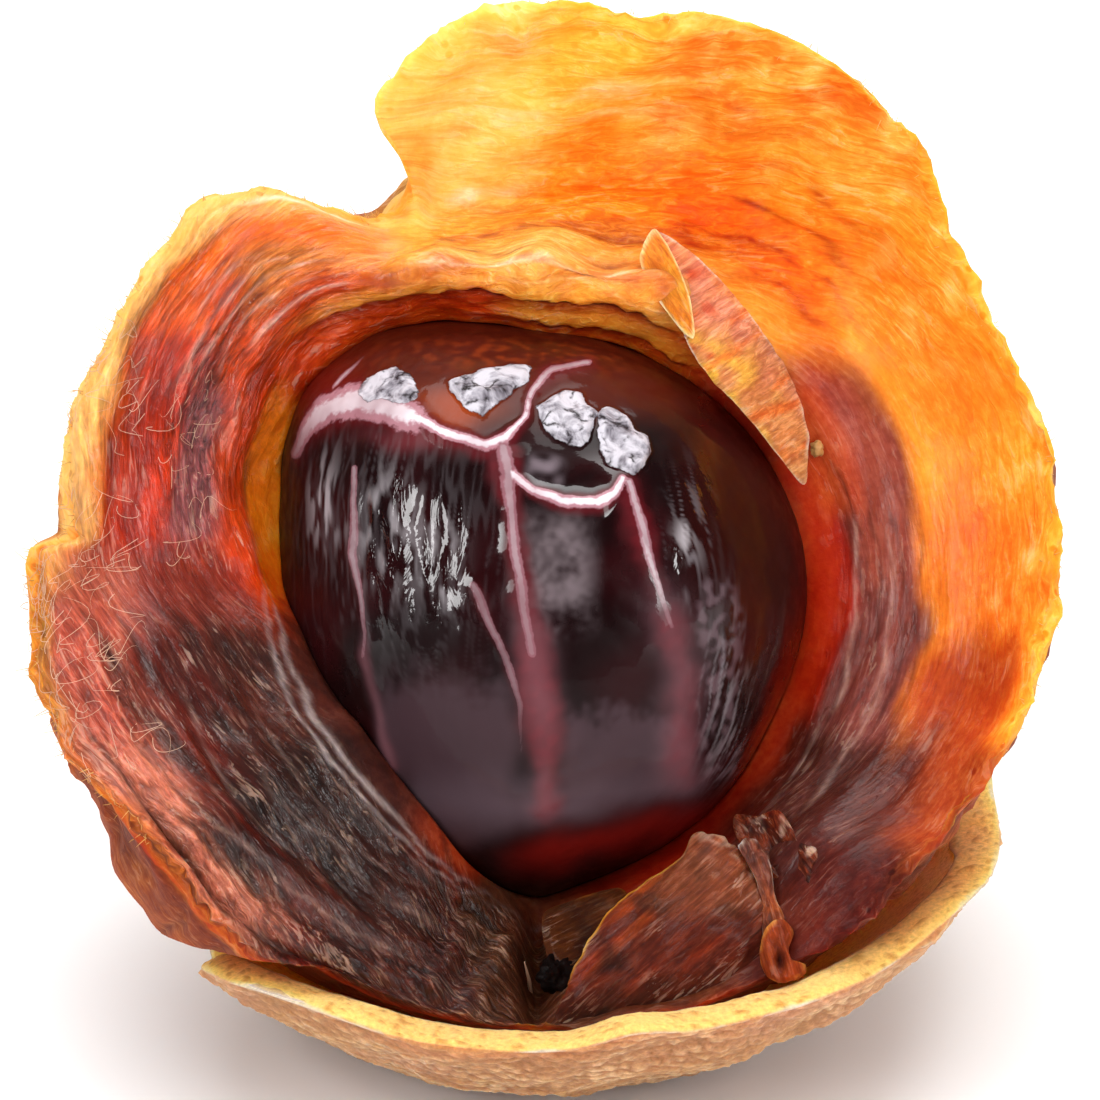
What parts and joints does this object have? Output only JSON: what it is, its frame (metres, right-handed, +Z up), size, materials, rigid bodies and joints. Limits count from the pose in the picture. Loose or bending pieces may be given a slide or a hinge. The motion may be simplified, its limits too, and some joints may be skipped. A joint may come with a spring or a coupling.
{
  "type": "dried longan",
  "caption": "Dried longan torn open: amber flesh with a thin back flap and folded edges holds a glossy dark seed, lying in a broken bowl-shaped piece of its rind.",
  "frame": {"origin": "middle of the small flat spot under the rind, on which the fruit rests", "axes": "+Z up; -Y is the side that the torn mouth opens towards, 30 degrees above the horizontal; +X is to the right when facing the mouth"},
  "size_m": [0.0251, 0.0234, 0.0236],
  "materials": {
    "rind": "matte",
    "dried_flesh": "satin",
    "seed_coat": "gloss"
  },
  "bodies": {
    "root": {"shell": "rind", "flesh": "dried_flesh", "seed": "seed_coat"}
  },
  "joints": []
}
